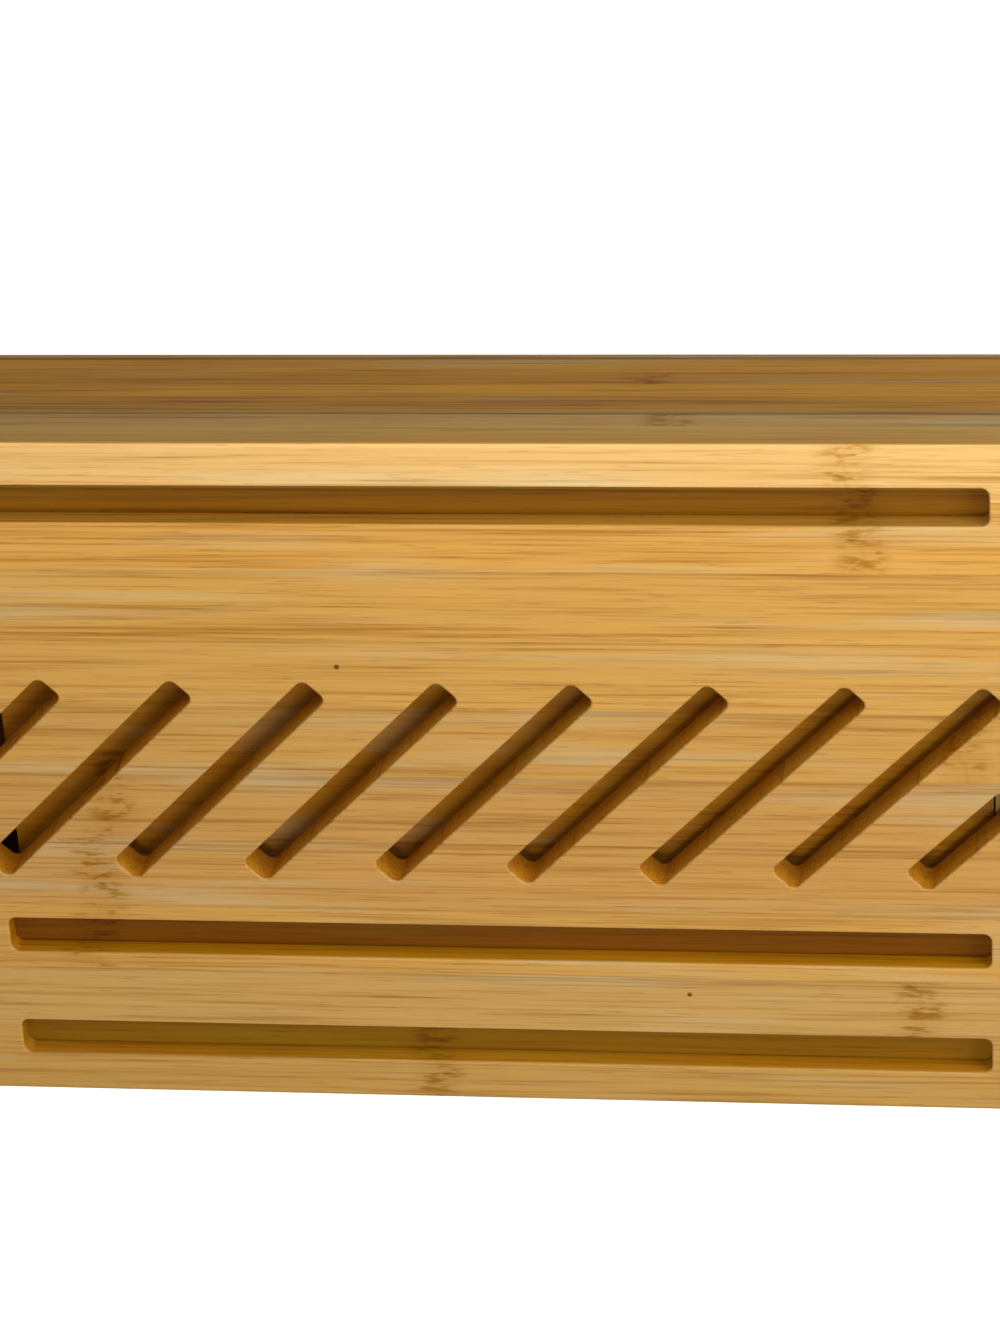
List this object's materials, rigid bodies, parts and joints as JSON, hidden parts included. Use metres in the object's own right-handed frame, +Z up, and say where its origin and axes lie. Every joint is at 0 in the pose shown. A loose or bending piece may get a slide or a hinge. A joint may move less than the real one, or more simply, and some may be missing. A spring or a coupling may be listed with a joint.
{
  "type": "bread slicer guide",
  "caption": "Bamboo bread slicer base with guide grooves, diagonal crumb slots, a crumb drawer with its tray, and comb guides stored under it.",
  "frame": {"origin": "on the table, under the middle of the box", "axes": "+X along the box towards the drawer front, +Y from the front face to the back, +Z up"},
  "size_m": [0.28, 0.175, 0.051],
  "materials": {
    "top_bamboo": "light flat-pressed bamboo, sanded and oiled, fine grain along X with knot bands",
    "rail_bamboo": "bamboo laid in thin strips of darker tone, sanded and oiled",
    "drawer_bamboo": "light bamboo board, sanded",
    "guide_bamboo": "light bamboo board, sanded, sawn kerfs",
    "runner_wood": "plain pale beech",
    "foot_rubber": "matt black rubber",
    "screw_steel": "zinc-plated steel"
  },
  "bodies": {
    "base": {"top_board": "top_bamboo", "front_rail": "rail_bamboo", "back_rail": "rail_bamboo", "end_panel": "rail_bamboo", "bottom_board": "drawer_bamboo", "runner_front": "runner_wood", "runner_back": "runner_wood", "foot_1": "foot_rubber", "foot_2": "foot_rubber", "foot_3": "foot_rubber", "foot_4": "foot_rubber", "foot_screw_1": "screw_steel", "foot_screw_2": "screw_steel", "foot_screw_3": "screw_steel", "foot_screw_4": "screw_steel", "bottom_screw_1": "screw_steel", "bottom_screw_2": "screw_steel", "bottom_screw_3": "screw_steel", "bottom_screw_4": "screw_steel", "bottom_screw_5": "screw_steel", "bottom_screw_6": "screw_steel", "rail_dowel_1": "runner_wood", "rail_dowel_2": "runner_wood", "rail_dowel_3": "runner_wood", "rail_dowel_4": "runner_wood", "top_dowel_1": "runner_wood", "top_dowel_2": "runner_wood", "top_dowel_3": "runner_wood", "top_dowel_4": "runner_wood", "top_dowel_5": "runner_wood", "top_dowel_6": "runner_wood", "top_dowel_7": "runner_wood", "top_dowel_8": "runner_wood"},
    "drawer": {"drawer_front": "drawer_bamboo", "drawer_side_front": "drawer_bamboo", "drawer_side_back": "drawer_bamboo", "drawer_back": "drawer_bamboo", "drawer_bottom": "drawer_bamboo", "crumb_tray": "drawer_bamboo", "guide_lower": "guide_bamboo", "guide_upper": "guide_bamboo", "drawer_dowel_1": "runner_wood", "drawer_dowel_2": "runner_wood", "drawer_dowel_3": "runner_wood", "drawer_dowel_4": "runner_wood"}
  },
  "joints": [
    {"name": "drawer_slide", "type": "slide", "parent": "base", "child": "drawer", "axis": [1, 0, 0], "range_m": [0, 0.2]}
  ]
}
